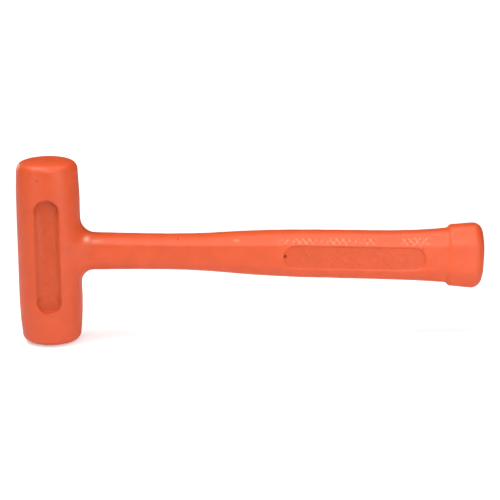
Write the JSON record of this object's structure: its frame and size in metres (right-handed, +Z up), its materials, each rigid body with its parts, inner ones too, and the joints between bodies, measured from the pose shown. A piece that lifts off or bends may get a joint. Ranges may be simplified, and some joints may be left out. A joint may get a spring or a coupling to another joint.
{
  "type": "dead blow mallet",
  "caption": "Soft-faced dead blow mallet: cast urethane head and oval flat-sided grip over a steel skeleton, with loose shot in a sealed canister that stops rebound.",
  "frame": {"origin": "centre of the lower striking face", "axes": "+Z up the axis of the head to the upper striking face, +X along the handle to the pommel, front of the mallet towards -Y"},
  "size_m": [0.305, 0.041, 0.122],
  "materials": {
    "urethane": "satin moulded",
    "tube_steel": "drawn, dull",
    "bar_steel": "hot rolled",
    "weld_bead": "as welded",
    "shot_steel": "bright"
  },
  "bodies": {
    "mallet_body": {"urethane_casting": "urethane", "canister_tube": "tube_steel", "canister_cap_lower": "tube_steel", "canister_cap_upper": "tube_steel", "cap_weld_lower": "weld_bead", "cap_weld_upper": "weld_bead", "handle_rod": "bar_steel", "saddle_collar": "bar_steel", "saddle_weld": "weld_bead", "rod_weld": "weld_bead", "tail_washer": "bar_steel", "tail_weld": "weld_bead"},
    "shot_charge": {"shot_layer_01": "shot_steel", "shot_layer_02": "shot_steel", "shot_layer_03": "shot_steel", "shot_layer_04": "shot_steel", "shot_layer_05": "shot_steel", "shot_layer_06": "shot_steel", "shot_layer_07": "shot_steel", "shot_layer_08": "shot_steel", "shot_layer_09": "shot_steel", "shot_layer_10": "shot_steel", "shot_layer_11": "shot_steel", "shot_layer_12": "shot_steel", "shot_layer_13": "shot_steel", "shot_layer_14": "shot_steel", "shot_layer_15": "shot_steel"}
  },
  "joints": [
    {"name": "shot_slide", "type": "slide", "parent": "mallet_body", "child": "shot_charge", "axis": [0, 0, 1], "range_m": [0, 0.032]}
  ]
}
